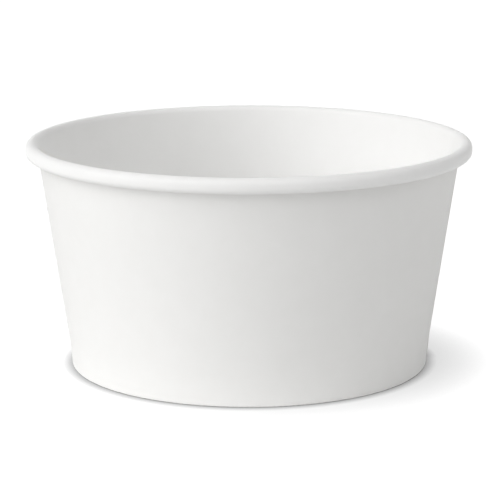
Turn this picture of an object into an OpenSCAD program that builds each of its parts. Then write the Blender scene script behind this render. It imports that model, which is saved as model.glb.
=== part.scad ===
// Paper bowl, sizes in millimetres: a fan-shaped board wrapped into a tapered wall with a lap seam,
// curled outwards into a rolled rim, and folded in and up at the foot round the skirt of a round bottom.
// The origin is on the table under the middle of the bowl, and +Z runs up the bowl's axis.

/* [Bowl] */
// Outside diameter over the rolled rim
rim_d = 115; // [104:0.5:140]
// Height from the table to the top of the rim
height = 58.7; // [40:0.1:90]
// Diameter at which the outer face of the foot would meet the table
foot_d = 92.7; // [78:0.1:102]
// Thickness of the wall board
wall_t = 0.45; // [0.3:0.01:0.6]

/* [Rolled rim] */
// Width of the roll, from the inner face of the wall to the outside
roll_w = 3.4; // [2.8:0.05:4]
// Height of the roll, from its underside to its top
roll_h = 3.85; // [3.3:0.05:5.5]
// Play between one turn of the curl and the next
curl_gap = 0.05; // [0.02:0.01:0.15]
// Angle that the free edge of the curl runs on inside the roll
curl_tail = 100; // [20:5:160]

/* [Foot] */
// Height of the band that is crimped round the skirt of the bottom
crimp_h = 6; // [4:0.1:12]
// Taper of the crimped band, in degrees from upright
crimp_taper = 5.1; // [0:0.1:8]
// Radius on which the band bends out into the wall, to the middle of the board
shoulder_r = 20; // [5:1:40]
// Height of the turned-up hem inside the foot
hem_h = 5.8; // [3:0.1:6.2]
// Inside radius of each of the two bends of the foot fold
fold_r = 0.1; // [0.05:0.01:0.18]

/* [Bottom] */
// Height of the hollow under the bottom
recess_h = 7; // [6.6:0.1:14]
// Thickness of the bottom board
disc_t = 0.4; // [0.3:0.01:0.6]
// Outside radius of the bend from the bottom into its skirt
disc_bend_r = 0.9; // [0.7:0.05:1.1]
// Height of the skirt's free edge above the floor of the foot fold
skirt_lift = 0.3; // [0.15:0.05:2]
// Play between each two plies of the crimped band
ply_gap = 0.03; // [0.01:0.01:0.06]

/* [Side seam] */
// Direction of the inner ply's free edge, in degrees from +X towards +Y
seam_angle = 9; // [-180:1:180]
// Width over which the two ends of the wall board overlap
lap_w = 7; // [4:0.5:12]
// Width in which the outer ply steps down past the inner ply's edge
step_w = 3; // [2:0.1:6]

/* [Hidden] */
$fn = 96;
// Largest step in degrees along a bend of the section
bend_step = 9;
rim_r = rim_d / 2;
foot_r = foot_d / 2;
half_t = wall_t / 2;

// Middle of the board in the foot's bends, and the height of their centres
fold_mid_r = fold_r + half_t;
fold_z = fold_r + wall_t;
// Depth of each ply's middle behind the outer face of the crimped band
skirt_depth = wall_t + ply_gap + disc_t / 2;
hem_depth = wall_t + 2 * ply_gap + disc_t + half_t;

// Radii to the outside of the roll's three arcs, each one tucked into the one before
roll_top_r = roll_w / 2;
roll_tail_r = roll_top_r - wall_t - curl_gap;
roll_low_r = (roll_top_r + roll_tail_r) / 2;
roll_top = [rim_r - roll_top_r, height - roll_top_r];
roll_low = [rim_r - roll_low_r, height - roll_h + roll_low_r];

// The wall leaves the crimped band at the shoulder and runs tangent into the roll
shoulder = band_point(half_t, crimp_h);
to_roll = roll_top - shoulder;
wall_taper = acos((roll_top_r - half_t) / norm(to_roll)) - atan2(to_roll[1], to_roll[0]);
shoulder_turn = wall_taper - crimp_taper;
shoulder_centre = shoulder + shoulder_r / cos(shoulder_turn / 2) * outward((wall_taper + crimp_taper) / 2);
wall_start = shoulder_centre - shoulder_r * outward(wall_taper);
wall_end = roll_top - (roll_top_r - half_t) * outward(wall_taper);

// Angle that the lap takes up halfway up the wall
lap_angle = lap_w / norm([wall_start[0] + wall_end[0], 0]) * 360 / PI;

// Height of the middle of the bottom board
disc_z = recess_h + disc_t / 2;
disc_bend_mid_r = disc_bend_r - disc_t / 2;
skirt_top = band_point(skirt_depth, disc_z - disc_bend_mid_r);
skirt_end = band_point(skirt_depth, wall_t + skirt_lift);

// Unit vector that points out of a face leaning outwards by the angle
function outward(lean) = [cos(lean), -sin(lean)];

// Point at a height in the crimped band, at a depth behind its outer face
function band_point(depth, z) =
    [foot_r - depth / cos(crimp_taper) + z * tan(crimp_taper), z];

// A board's section is a list of bends, each [centre, radius, first angle, last angle], and it runs
// straight from each bend to the next. A free edge is a bend of no radius and no turn.
function bend_points(bend, side) =
    let (turn = bend[3] - bend[2])
    let (radius = bend[1] + (turn > 0 ? -side : side))
    let (steps = ceil(abs(turn) / bend_step))
    [for (i = [0 : steps])
        let (a = bend[2] + turn * i / max(steps, 1))
        bend[0] + radius * [cos(a), sin(a)]];

function face_points(bends, side) = [for (bend = bends) each bend_points(bend, side)];

function reversed(points) = [for (i = [len(points) - 1 : -1 : 0]) points[i]];

// Area between two offsets from the section's middle, counted to the left of its direction
module board(bends, left, right) {
    polygon(concat(face_points(bends, left), reversed(face_points(bends, right))));
}

// Bends of the wall board, from the hem's free edge through the foot and wall to the end of the curl
function hem_bends() = [
    [band_point(hem_depth, hem_h), 0, -crimp_taper, -crimp_taper],
    [[band_point(hem_depth, fold_z)[0] + fold_mid_r / cos(crimp_taper), fold_z],
        fold_mid_r, 180 - crimp_taper, 270],
];

function foot_bends() = [
    [[band_point(half_t, fold_z)[0] - fold_mid_r / cos(crimp_taper), fold_z],
        fold_mid_r, 270, 360 - crimp_taper],
    [shoulder_centre, shoulder_r, 180 - crimp_taper, 180 - wall_taper],
];

function roll_bends() = [
    [roll_top, roll_top_r - half_t, 180 - wall_taper, 90],
    [roll_top, roll_top_r - half_t, 90, 0],
    [roll_low, roll_low_r - half_t, 0, -180],
    [roll_top, roll_tail_r - half_t, -180, -180 - curl_tail],
];

module wall_section() {
    board(concat(hem_bends(), foot_bends(), roll_bends()), half_t, -half_t);
}

// The lapped end runs from the foot up into the roll, one board outside the wall
module lap_section() {
    lap_end = [wall_end, 0, 180 - wall_taper, 180 - wall_taper];
    intersection() {
        board(concat(foot_bends(), [lap_end]), 0, -half_t - wall_t);
        square([rim_r, height]);
    }
}

// A prism up the seam's line, from one point of the section to another at the given lean.
// Its outline has x out of the wall from the middle of the board, and y away from the lap.
module up_the_seam(from, to, lean, outline) {
    rotate([0, 0, seam_angle])
        translate([from[0], 0, from[1]])
        rotate([0, lean, 0])
        linear_extrude(norm(to - from))
        polygon(outline);
}

// The outer ply comes down past the inner ply's edge, no lower than the table
module seam_step() {
    slope = [[0, 0], [half_t + wall_t, 0], [0, step_w]];
    up_the_seam(shoulder, wall_end, wall_taper, slope);
    intersection() {
        up_the_seam(band_point(half_t, 0), shoulder, crimp_taper, slope);
        cylinder(h = height, r = rim_r);
    }
}

// Inside, the same step leaves the inner ply's edge free
module seam_edge_recess() {
    start_share = (recess_h + disc_t - crimp_h) / (wall_end[1] - shoulder[1]);
    start = shoulder + start_share * (wall_end - shoulder);
    up_the_seam(start, wall_end, wall_taper,
        [[-2 * wall_t, 0], [half_t, 0], [-wall_t, step_w], [-2 * wall_t, step_w]]);
}

module side_wall() {
    color([0.96, 0.96, 0.95])
    union() {
        difference() {
            rotate_extrude() wall_section();
            seam_edge_recess();
        }
        rotate_extrude(angle = lap_angle, start = seam_angle - lap_angle) lap_section();
        seam_step();
    }
}

module base_disc() {
    disc_bends = [
        [[0, disc_z], 0, 90, 90],
        [[skirt_top[0] - disc_bend_mid_r / cos(crimp_taper), skirt_top[1]],
            disc_bend_mid_r, 90, -crimp_taper],
        [skirt_end, 0, -crimp_taper, -crimp_taper],
    ];
    color([0.93, 0.93, 0.92])
    rotate_extrude() board(disc_bends, disc_t / 2, -disc_t / 2);
}

side_wall();
base_disc();
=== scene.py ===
# %% [markdown]
# # A paper bowl
# A round food bowl is made of two pieces of white board. A fan-shaped blank is wrapped round into
# a tapered wall, lapped and sealed at a side seam, curled outwards into a rolled rim, and folded
# in and up at the foot. A round bottom with a turned-down skirt is held in that fold.
#
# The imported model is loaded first. It is the frame for everything here: metres, +Z up, and the
# origin on the table under the middle of the bowl.

import math

import bmesh
import bpy
from mathutils import Matrix, Vector


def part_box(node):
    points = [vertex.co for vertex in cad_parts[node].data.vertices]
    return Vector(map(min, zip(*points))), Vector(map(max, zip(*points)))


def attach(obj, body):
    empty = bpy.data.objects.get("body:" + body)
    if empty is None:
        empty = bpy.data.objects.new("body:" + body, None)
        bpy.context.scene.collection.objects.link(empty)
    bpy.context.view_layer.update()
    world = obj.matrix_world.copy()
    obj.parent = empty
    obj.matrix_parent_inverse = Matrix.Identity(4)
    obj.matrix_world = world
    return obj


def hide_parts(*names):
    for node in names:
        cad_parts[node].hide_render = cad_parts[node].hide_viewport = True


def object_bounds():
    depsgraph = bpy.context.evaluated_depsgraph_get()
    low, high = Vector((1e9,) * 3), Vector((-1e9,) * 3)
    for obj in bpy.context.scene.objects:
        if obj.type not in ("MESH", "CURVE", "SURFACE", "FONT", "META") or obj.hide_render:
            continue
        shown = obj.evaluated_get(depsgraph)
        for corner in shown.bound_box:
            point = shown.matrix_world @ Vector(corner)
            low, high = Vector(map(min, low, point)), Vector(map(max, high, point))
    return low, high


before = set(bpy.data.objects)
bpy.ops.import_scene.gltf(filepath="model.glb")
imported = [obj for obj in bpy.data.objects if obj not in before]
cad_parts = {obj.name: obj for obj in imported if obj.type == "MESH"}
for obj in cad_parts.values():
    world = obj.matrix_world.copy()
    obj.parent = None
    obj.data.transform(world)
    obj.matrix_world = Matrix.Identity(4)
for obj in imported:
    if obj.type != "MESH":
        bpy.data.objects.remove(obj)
cad_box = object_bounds()
MM = 0.001
print("nodes:", sorted(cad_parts))
print("bowl in mm:", [round(side / MM, 1) for side in cad_box[1] - cad_box[0]])

# %% [markdown]
# ## Camera
# The bowl is seen from a little above through a long lens, so that its rim is a flat ellipse and
# its sides hardly converge. The place, tilt and lens were found by fitting the outlines of the
# rim, the roll and the foot.

# %% Camera
CAMERA_PLACE = (0.45 * MM, -579.7 * MM, 156.5 * MM)
LOOKS_DOWN = math.radians(12.388)
LEANS = math.radians(0.089)
LENS_ON_36_MM = 163.83


def link(name, data):
    """A new object in the scene that shows the data."""
    obj = bpy.data.objects.new(name, data)
    bpy.context.scene.collection.objects.link(obj)
    return obj


camera = link("camera", bpy.data.cameras.new("camera"))
camera.data.sensor_width = 36
camera.data.lens = LENS_ON_36_MM
camera.location = CAMERA_PLACE
camera.rotation_euler = (math.pi / 2 - LOOKS_DOWN, LEANS, 0)
bpy.context.scene.camera = camera
print("camera:", round(Vector(CAMERA_PLACE).length, 3), "m away")

# %% [markdown]
# ## The section of the wall
# Cut through its axis, the wall is one line of board. The hem inside the foot is folded last when
# the bowl is made, but it is the easiest place to start. From the hem's free edge the board runs
# down, turns under the foot, runs up the crimped band and the wall, and curls over and outwards
# into the roll, where its other edge is hidden.
#
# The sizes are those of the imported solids. Points here are pairs: the distance from the axis and
# the height.

# %% Sizes of the board and its bends
BOARD = 0.45 * MM
ROOM_TO_SPARE = 0.005 * MM
rim_r = cad_box[1].y - ROOM_TO_SPARE
height = cad_box[1].z - ROOM_TO_SPARE
FOOT_R = 46.35 * MM

ROLL_W = 3.4 * MM
ROLL_H = 3.85 * MM
CURL_GAP = 0.05 * MM
CURL_TAIL = math.radians(100)
CRUSHED_AT = math.radians(135)

CRIMP_H = 6 * MM
CRIMP_TAPER = math.radians(5.1)
SHOULDER_R = 20 * MM
HEM_H = 5.8 * MM
FOLD_R = 0.1 * MM

BOTTOM_BOARD = 0.4 * MM
PLY_GAP = 0.03 * MM
print("rim radius and height in mm:", round(rim_r / MM, 2), round(height / MM, 2))

# %% [markdown]
# Each bend is written as its centre, its radius to the middle of the board, the angles at which
# it starts and ends, and the steps for the straight run before it and for the bend itself. A free
# edge is a bend of no radius. The wall's slope follows from the rest: it is the line that touches
# both the shoulder and the roll.

# %% Bends of the wall board
def outward(lean):
    """Unit pair that points out of a face leaning outwards by the angle."""
    return Vector((math.cos(lean), -math.sin(lean)))


def band_point(depth, z):
    """Pair at a height in the crimped band, at a depth behind its outer face."""
    return Vector((FOOT_R - depth / math.cos(CRIMP_TAPER) + z * math.tan(CRIMP_TAPER), z))


half = BOARD / 2
fold_mid_r = FOLD_R + half
fold_z = FOLD_R + BOARD
hem_depth = BOARD + 2 * PLY_GAP + BOTTOM_BOARD + half
fold_shift = Vector((fold_mid_r / math.cos(CRIMP_TAPER), 0))

roll_top_r = ROLL_W / 2
roll_tail_r = roll_top_r - BOARD - CURL_GAP
roll_low_r = (roll_top_r + roll_tail_r) / 2
roll_top = Vector((rim_r - roll_top_r, height - roll_top_r))
roll_low = Vector((rim_r - roll_low_r, height - ROLL_H + roll_low_r))

shoulder = band_point(half, CRIMP_H)
to_roll = roll_top - shoulder
wall_taper = math.acos((roll_top_r - half) / to_roll.length) - math.atan2(to_roll.y, to_roll.x)
shoulder_reach = SHOULDER_R / math.cos((wall_taper - CRIMP_TAPER) / 2)
shoulder_centre = shoulder + shoulder_reach * outward((wall_taper + CRIMP_TAPER) / 2)

half_turn = math.pi
quarter = math.pi / 2
wall_bends = [
    (band_point(hem_depth, HEM_H), 0, -CRIMP_TAPER, -CRIMP_TAPER, 0, 0),
    (band_point(hem_depth, fold_z) + fold_shift, fold_mid_r, half_turn - CRIMP_TAPER, 3 * quarter, 8, 6),
    (band_point(half, fold_z) - fold_shift, fold_mid_r, 3 * quarter, 4 * quarter - CRIMP_TAPER, 1, 6),
    (shoulder_centre, SHOULDER_R, half_turn - CRIMP_TAPER, half_turn - wall_taper, 5, 3),
    (roll_top, roll_top_r - half, half_turn - wall_taper, quarter, 14, 8),
    (roll_top, roll_top_r - half, quarter, 0, 0, 8),
    (roll_low, roll_low_r - half, 0, -CRUSHED_AT, 1, 9),
    (roll_low, roll_low_r - half, -CRUSHED_AT, -half_turn, 0, 3),
    (roll_top, roll_tail_r - half, -half_turn, -half_turn - CURL_TAIL, 1, 5),
]
# Places in this list that later steps ask for
HEM_FOLD = 1
CRUSHED_BEND = 7
print("the wall leans out by", round(math.degrees(wall_taper), 2), "degrees")

# %% [markdown]
# The strip could be typed in as a list of points, but then nobody could change a bend. Here one
# vertex is led along it instead: extruded and moved for a straight run, and spun about the bend's
# centre for a bend. The distance from the strip's start is kept on every vertex, because the
# finish will need to know which way the board runs.

# %% Lead a strip along its bends
def new_sheet():
    """An empty mesh with room on each vertex for its distance along the strip and around the bowl."""
    mesh = bmesh.new()
    mesh.verts.layers.float.new("along")
    mesh.verts.layers.float.new("around")
    return mesh


def in_plane(pair):
    """The point in space of a pair, in the plane through the axis along +X."""
    return Vector((pair.x, 0, pair.y))


def lead_strip(mesh, bends):
    """A chain of vertices that runs straight from each bend to the next.

    Returns the chain in order, and the vertex at which each bend starts."""
    chain, starts = [], []
    for centre, radius, first, last, run_steps, bend_steps in bends:
        start = in_plane(centre + radius * Vector((math.cos(first), math.sin(first))))
        if not chain:
            chain.append(mesh.verts.new(start))
        step = (start - chain[-1].co) / max(run_steps, 1)
        for _ in range(run_steps):
            grown = bmesh.ops.extrude_vert_indiv(mesh, verts=[chain[-1]])["verts"]
            bmesh.ops.translate(mesh, verts=grown, vec=step)
            chain += grown
        starts.append(chain[-1])
        if bend_steps:
            known = len(chain)
            bmesh.ops.spin(mesh, geom=[chain[-1]], cent=in_plane(centre), axis=(0, -1, 0),
                           angle=last - first, steps=bend_steps)
            mesh.verts.ensure_lookup_table()
            chain += mesh.verts[known:]
    return chain, starts


def measure_along(mesh, chain):
    """Keeps on each vertex how far along the strip it lies."""
    along = mesh.verts.layers.float["along"]
    travelled = 0
    for before, vert in zip(chain, chain[1:]):
        travelled += (vert.co - before.co).length
        vert[along] = travelled
    return travelled


wall = new_sheet()
wall_strip, wall_starts = lead_strip(wall, wall_bends)
strip_length = measure_along(wall, wall_strip)
print("strip of", len(wall_strip), "points,", round(strip_length / MM, 1), "mm from hem to curl")

# %% [markdown]
# ## Wrapping the wall
# The real blank goes round a mandrel, and its second end laps over its first. Spinning the strip
# does the same: it starts at the inner ply's free edge, goes once round, and then on over the
# start. The columns are closer together where the outer ply steps up over the inner ply's edge.

# %% Wrap the strip round the axis
SEAM_ANGLE = math.radians(9)
LAP = math.radians(8.25)
STEP_UP = math.radians(3.4)
COLUMN = math.radians(0.75)
FINE_FROM = math.radians(355.5)
FULL_TURN = 2 * math.pi

bmesh.ops.rotate(wall, verts=wall_strip, cent=(0, 0, 0), matrix=Matrix.Rotation(SEAM_ANGLE, 3, "Z"))
sweeps = [0.0]
last_column = wall.verts[:] + wall.edges[:]
for until, steps in (
    (FINE_FROM, round(FINE_FROM / COLUMN)),
    (FULL_TURN, 2 * round((FULL_TURN - FINE_FROM) / COLUMN)),
    (FULL_TURN + LAP, round(LAP / COLUMN)),
):
    turn = until - sweeps[-1]
    sweeps += [sweeps[-1] + turn * (i + 1) / steps for i in range(steps)]
    last_column = bmesh.ops.spin(wall, geom=last_column, cent=(0, 0, 0), axis=(0, 0, -1),
                                 angle=turn, steps=steps)["geom_last"]
bmesh.ops.recalc_face_normals(wall, faces=wall.faces[:])
wall.normal_update()
wall.verts.index_update()
print("columns:", len(sweeps), "faces:", len(wall.faces))

# %% [markdown]
# The sheet is now a perfect surface of revolution that runs into itself at the lap. The second
# ply has to lie one board further out, and at the foot both plies have to share the room above
# the table. The seam's step is the bowl's most telling mark, so it is real geometry. So is the
# knurl that a toothed wheel presses into the hem to grip the bottom's skirt.
#
# The normals look out of the coated face, which is inside the bowl and outside the roll, so the
# second ply moves against them.

# %% Lap the plies and press the knurl
LAP_SHIFT = BOARD + 0.01 * MM
LIFT_FADES = (fold_z, 2.2 * MM)
KNURL_PITCH = 2 * COLUMN
KNURL_DEPTH = 0.08 * MM
KNURL_FROM, KNURL_TO = 1.2 * MM, 5.3 * MM


def smooth_step(value, start, end):
    """0 before the start, 1 after the end, and a smooth rise between them."""
    share = min(max((value - start) / (end - start), 0), 1)
    return share * share * (3 - 2 * share)


def lap_share(sweep):
    """How far the ply at this sweep has stepped up over the one below, from 0 to 1."""
    return smooth_step(sweep, FULL_TURN - STEP_UP, FULL_TURN)


def lift_share(sweep, z):
    """How far the foot's fold is lifted to make room for two plies, from 0 to 1."""
    beside_lap = max(lap_share(sweep), 1 - smooth_step(sweep, LAP, LAP + STEP_UP))
    return beside_lap * (1 - smooth_step(z, *LIFT_FADES))


def knurl(sweep, z):
    """Height of the knurl's ridges on the hem, from 0 to 1."""
    return 0.5 - 0.5 * math.cos(FULL_TURN * sweep / KNURL_PITCH) if KNURL_FROM < z < KNURL_TO else 0


along = wall.verts.layers.float["along"]
around = wall.verts.layers.float["around"]
hem_length = wall_starts[HEM_FOLD][along]
for vert in wall.verts:
    sweep = sweeps[vert.index // len(wall_strip)]
    vert[around] = sweep * rim_r
    z = vert.co.z
    inwards = -LAP_SHIFT * lap_share(sweep)
    if vert[along] < hem_length:
        inwards -= KNURL_DEPTH * knurl(sweep, z)
    vert.co += vert.normal * inwards
    vert.co.z += LAP_SHIFT * lift_share(sweep, z)
print("lowest and highest middle of the board in mm:",
      [round(f(v.co.z for v in wall.verts) / MM, 3) for f in (min, max)])

# %% [markdown]
# Inside the roll there is no room for two full curls at the lap. There the inner ply's curl stops
# where it meets the outer ply, as it is crushed on the real rim.
#
# A sheet has no thickness, so Solidify gives it the board's, half to each side. Its second material
# goes to the side away from the normals and its third to the cut edges. A small Bevel rounds those
# edges, as a cutting die does.

# %% Trim the hidden curl and give the board its thickness
TINY = 0.001 * MM
CUT_EDGE_R = 0.06 * MM
SHARPER_THAN = math.radians(50)


def board_piece(name, mesh, thickness):
    """A piece of board of an even thickness, made from a sheet of faces."""
    for face in mesh.faces:
        face.smooth = True
    data = bpy.data.meshes.new(name)
    mesh.to_mesh(data)
    mesh.free()
    piece = link(name, data)
    solidify = piece.modifiers.new("board", "SOLIDIFY")
    solidify.thickness = thickness
    solidify.offset = 0
    solidify.use_even_offset = True
    solidify.material_offset = 1
    solidify.material_offset_rim = 2
    bevel = piece.modifiers.new("cut edge", "BEVEL")
    bevel.width = CUT_EDGE_R
    bevel.segments = 2
    bevel.limit_method = "ANGLE"
    bevel.angle_limit = SHARPER_THAN
    bevel.harden_normals = True
    return piece


crushed_from = wall_starts[CRUSHED_BEND][along]
crushed = [face for face in wall.faces if all(
    vert[along] > crushed_from - TINY and vert[around] < LAP * rim_r + TINY for vert in face.verts)]
bmesh.ops.delete(wall, geom=crushed, context="FACES")
wall_sheet = board_piece("wall_sheet", wall, BOARD)
print("faces trimmed:", len(crushed), "left:", len(wall_sheet.data.polygons))

# %% [markdown]
# ## The bottom
# The bottom is a disc whose edge is turned down into a skirt. A flat cylinder would do from a
# distance, but the soft bend into the skirt shows inside the bowl. The same strip and spin make it:
# from the axis out to the bend, down the skirt, and once round. The points that meet on the axis
# are merged, so that the pole is closed.

# %% The bottom board
BOTTOM_BEND_R = 0.9 * MM
SKIRT_END = 1.5 * MM
BOTTOM_COLUMNS = 240

bottom_half = BOTTOM_BOARD / 2
bottom_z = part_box("base_disc")[1].z - bottom_half
bottom_bend_r = BOTTOM_BEND_R - bottom_half
skirt_depth = BOARD + PLY_GAP + bottom_half
skirt_top = band_point(skirt_depth, bottom_z - bottom_bend_r)
bend_centre = skirt_top - Vector((bottom_bend_r / math.cos(CRIMP_TAPER), 0))
bottom_bends = [
    (Vector((0, bottom_z)), 0, quarter, quarter, 0, 0),
    (bend_centre, bottom_bend_r, quarter, -CRIMP_TAPER, 24, 8),
    (band_point(skirt_depth, SKIRT_END), 0, 0, 0, 5, 0),
]
bottom = new_sheet()
bottom_strip, _ = lead_strip(bottom, bottom_bends)
skirt_length = measure_along(bottom, bottom_strip)
bmesh.ops.spin(bottom, geom=bottom.verts[:] + bottom.edges[:], cent=(0, 0, 0), axis=(0, 0, 1),
               angle=FULL_TURN, steps=BOTTOM_COLUMNS, use_merge=True)
bmesh.ops.remove_doubles(bottom, verts=bottom.verts[:], dist=TINY)
bmesh.ops.recalc_face_normals(bottom, faces=bottom.faces[:])
bottom_sheet = board_piece("bottom_sheet", bottom, BOTTOM_BOARD)
print("bottom blank radius in mm:", round(skirt_length / MM, 1))

# %% [markdown]
# ## Mixing finishes
# A finish is a small sum of patterns, and sums are easiest to read as sums. One class wraps a
# number that varies over the surface, so that Python's own signs add the Math nodes. A second
# class adds every other kind of node with one method.

# %% Shader maths
class Value:
    """A socket's varying output. Python's operators on it add Math nodes."""

    def __init__(self, nodes, socket):
        self.nodes = nodes
        self.socket = socket

    def maths(self, operation, first, second):
        return self.nodes.add("ShaderNodeMath", {"operation": operation}, {0: first, 1: second})

    def __add__(self, other):
        return self.maths("ADD", self, other)

    def __radd__(self, other):
        return self.maths("ADD", other, self)

    def __sub__(self, other):
        return self.maths("SUBTRACT", self, other)

    def __rsub__(self, other):
        return self.maths("SUBTRACT", other, self)

    def __mul__(self, other):
        return self.maths("MULTIPLY", self, other)

    def __rmul__(self, other):
        return self.maths("MULTIPLY", other, self)


class Nodes:
    """A node tree, to which nodes are added one by one."""

    def __init__(self, tree):
        self.tree = tree

    def feed(self, node, sockets):
        """Sets a node's sockets, each to a constant or to a link from a Value."""
        for key, value in sockets.items():
            if isinstance(value, Value):
                self.tree.links.new(value.socket, node.inputs[key])
            else:
                node.inputs[key].default_value = value

    def add(self, kind, settings=None, sockets=None, out=0):
        """A new node with its settings and sockets. Returns one of its outputs."""
        node = self.tree.nodes.new(kind)
        for name, value in (settings or {}).items():
            setattr(node, name, value)
        self.feed(node, sockets or {})
        return Value(self, node.outputs[out])


def new_finish(name):
    """A material with its nodes and its shader."""
    material = bpy.data.materials.new(name)
    material.use_nodes = True
    return material, Nodes(material.node_tree), material.node_tree.nodes["Principled BSDF"]


# %% [markdown]
# ## Board finishes
# White board isn't one white. Its pulp lies in faint clouds a few millimetres wide, its fibres
# mostly follow the grain, and both stand up a little from the surface. Outside it is bare and
# matte. Inside, a thin film of plastic evens it out and gives it a satin sheen, and this side also
# shows on the roll, because the board is curled outwards.
#
# The clouds can lie on the object's own coordinates. The fibres follow the board round the bowl,
# so they take the two distances that the strip and the wrapping left on the mesh.

# %% Clouds and fibres
CLOUD_PER_M = 200
FIBRE_ACROSS_PER_M = 5500
FIBRE_ALONG_PER_M = 900


def pulp_clouds(nodes):
    """Faint clouds in the pulp, from about 0.3 to 0.7."""
    place = nodes.add("ShaderNodeTexCoord", out="Object")
    return nodes.add("ShaderNodeTexNoise", {}, {
        "Vector": place, "Scale": CLOUD_PER_M, "Detail": 3.0, "Roughness": 0.55})


def fibres(nodes):
    """Short fibres that mostly follow the grain, round the bowl, from about 0.2 to 0.8."""
    along_strip = nodes.add("ShaderNodeAttribute", {"attribute_name": "along"}, out="Fac")
    around_bowl = nodes.add("ShaderNodeAttribute", {"attribute_name": "around"}, out="Fac")
    place = nodes.add("ShaderNodeCombineXYZ", {}, {
        "X": along_strip * FIBRE_ACROSS_PER_M, "Y": around_bowl * FIBRE_ALONG_PER_M})
    return nodes.add("ShaderNodeTexNoise", {}, {
        "Vector": place, "Scale": 1.0, "Detail": 2.0, "Roughness": 0.6, "Distortion": 0.6})


def mixed_colour(nodes, share, dark, light):
    """A colour between two, by a share from 0 to 1."""
    return nodes.add("ShaderNodeMix", {"data_type": "RGBA"}, {
        0: share, 6: (*dark, 1), 7: (*light, 1)}, out=2)


# %% [markdown]
# Each finish is then the same few lines with its own numbers: a colour between two whites, a
# roughness, a gloss, and the height of its relief in millimetres, which a Bump node turns into a
# normal. The gloss is low, because fibres break up what a smooth face would mirror.

# %% The three finishes of the board
CLOUD_SHARE = 1.2
FIBRE_SHARE = 0.5
FIBRE_ROUGHENS = 0.08


def board_finish(name, dark, light, rough, gloss, cloud_relief, fibre_relief):
    """A finish of the white board, from its two whites, roughness, gloss and relief."""
    material, nodes, shader = new_finish(name)
    clouds = pulp_clouds(nodes)
    strands = fibres(nodes)
    pattern = 0.5 + (clouds - 0.5) * CLOUD_SHARE + (strands - 0.5) * FIBRE_SHARE
    relief = nodes.add("ShaderNodeBump", {}, {
        "Strength": 1.0, "Distance": MM,
        "Height": clouds * cloud_relief + strands * fibre_relief})
    nodes.feed(shader, {
        "Base Color": mixed_colour(nodes, pattern, dark, light),
        "Roughness": rough + (strands - 0.5) * FIBRE_ROUGHENS,
        "Specular IOR Level": gloss,
        "Normal": relief})
    return material


bare_board = board_finish(
    "bare_board", (0.892, 0.888, 0.872), (0.914, 0.911, 0.897), 0.82, 0.12, 0.006, 0.003)
coated_board = board_finish(
    "coated_board", (0.926, 0.923, 0.912), (0.944, 0.942, 0.933), 0.45, 0.20, 0.005, 0.001)
cut_edge = board_finish(
    "cut_edge", (0.780, 0.765, 0.725), (0.840, 0.830, 0.800), 0.90, 0.10, 0.004, 0.006)
for piece in (wall_sheet, bottom_sheet):
    for material in (coated_board, bare_board, cut_edge):
        piece.data.materials.append(material)
print("finishes:", [material.name for material in wall_sheet.data.materials])

# %% [markdown]
# ## Riding on the frame
# Both pieces belong to the one body. Each hides the plain solid that it stands for.

# %% Put the pieces on the frame
for piece, node, slot in (
    (wall_sheet, "side_wall", "wall_board"),
    (bottom_sheet, "base_disc", "bottom_board"),
):
    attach(piece, "root")
    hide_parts(node)

# %% [markdown]
# ## Floor and light
# Three large soft lamps stand round the bowl, as beside a table in a studio. The main one is low at
# the front left, a weaker one low at the right keeps the shade open, and the weakest one, high up
# behind, brightens the roll and the inside. They are distant lamps with a wide angle, so that the
# light is as even over the floor as from large panels. A sun of strength pi shows a white sheet that
# faces it at a level of 1, so the strengths are written as shares of that.

# %% Lamps
LAMPS = {
    # name: direction from the camera's side round to the right, height, width, strength
    "main_lamp": (-55, 32, 60, 0.82),
    "side_lamp": (75, 32, 60, 0.34),
    "back_lamp": (-165, 55, 60, 0.13),
}
for name, (direction, above, width, strength) in LAMPS.items():
    lamp = link(name, bpy.data.lights.new(name, "SUN"))
    lamp.data.angle = math.radians(width)
    lamp.data.energy = strength * math.pi
    lamp.rotation_euler = (math.radians(90 - above), 0, math.radians(direction))
print("lamps:", list(LAMPS))
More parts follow.
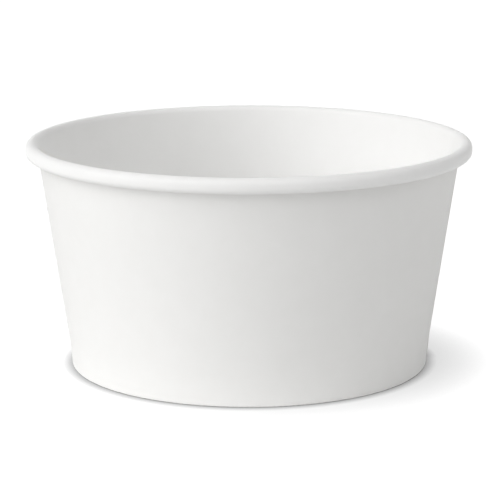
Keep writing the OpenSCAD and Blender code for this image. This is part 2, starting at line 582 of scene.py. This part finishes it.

# %% [markdown]
# The floor is a plain pale sheet that reaches the horizon. On a picture of a white object on white,
# the background is exposed until it is white, and only the deepest shadow near the foot is left. So
# the camera and gloss see little of the lamps' own light on the floor and much of a glow of its
# own. Shade is painted into that glow by ambient occlusion: the glow fades where the bowl closes off
# the floor. Close round the foot it fades from all sides, which paints the dark line of contact.
# Further out it counts only on the side away from the main lamp, which paints a soft shadow there.
# For all other light the floor is plain grey, and bounces it on to the bowl.
#
# The world is white where it is seen directly, and lights nothing.

# %% Floor and world
FLOOR_HALF = 20
NO_GLOW = (0, 0, 0)
FLOOR_GREY = (0.91, 0.91, 0.91)
FLOOR_SEEN = (0.12, 0.12, 0.12)
FLOOR_GLOW = (1.0, 1.0, 1.0)
CONTACT_SHADE_REACH = 3 * MM
SIDE_SHADOW_REACH = 18 * MM
LIT_SIDE = (-0.8, -0.1, 0.59)
SIDE_SHADOW_SHARE = 0.5


def seen_directly(nodes):
    """1 for what the camera, a reflection or a view through glass sees, and 0 for other light."""
    seen = nodes.add("ShaderNodeLightPath", out="Is Camera Ray")
    for ray in ("Is Glossy Ray", "Is Transmission Ray"):
        seen = seen.maths("MAXIMUM", seen, nodes.add("ShaderNodeLightPath", out=ray))
    return seen


ground = bmesh.new()
bmesh.ops.create_grid(ground, x_segments=1, y_segments=1, size=FLOOR_HALF)
floor = link("floor", bpy.data.meshes.new("floor"))
ground.to_mesh(floor.data)
ground.free()
pale_floor, nodes, shader = new_finish("pale_floor")
# Painted shade: two ambient occlusion nodes darken the glow that the camera sees. One paints a line of
# contact close round the foot, and the other, tilted towards the main lamp, paints a shadow further out
# on the side away from it.
lit_side = nodes.add("ShaderNodeCombineXYZ", {}, dict(zip("XYZ", LIT_SIDE)))
painted_contact_shade = nodes.add("ShaderNodeAmbientOcclusion", {}, {"Distance": CONTACT_SHADE_REACH}, out="AO")
painted_side_shadow = nodes.add("ShaderNodeAmbientOcclusion", {}, {
    "Distance": SIDE_SHADOW_REACH, "Normal": lit_side}, out="AO")
painted_floor_shade = painted_contact_shade * (1 - SIDE_SHADOW_SHARE + SIDE_SHADOW_SHARE * painted_side_shadow)
seen = seen_directly(nodes)
nodes.feed(shader, {
    "Base Color": mixed_colour(nodes, seen, FLOOR_GREY, FLOOR_SEEN),
    "Roughness": 1.0,
    "Specular IOR Level": 0.0,
    "Emission Color": mixed_colour(nodes, seen * painted_floor_shade, NO_GLOW, FLOOR_GLOW),
    "Emission Strength": 1.0})
floor.data.materials.append(pale_floor)

world = bpy.data.worlds.new("room")
world.use_nodes = True
bpy.context.scene.world = world
nodes = Nodes(world.node_tree)
nodes.feed(world.node_tree.nodes["Background"], {
    "Color": (1, 1, 1, 1), "Strength": seen_directly(nodes)})
bpy.context.scene.view_settings.view_transform = "Standard"

# %% [markdown]
# ## Finish
# The box of the imported solids is printed. The dressed bowl has to stay inside it.

# %% Sizes and finish
print("solids:", [[round(x / MM, 3) for x in corner] for corner in cad_box])
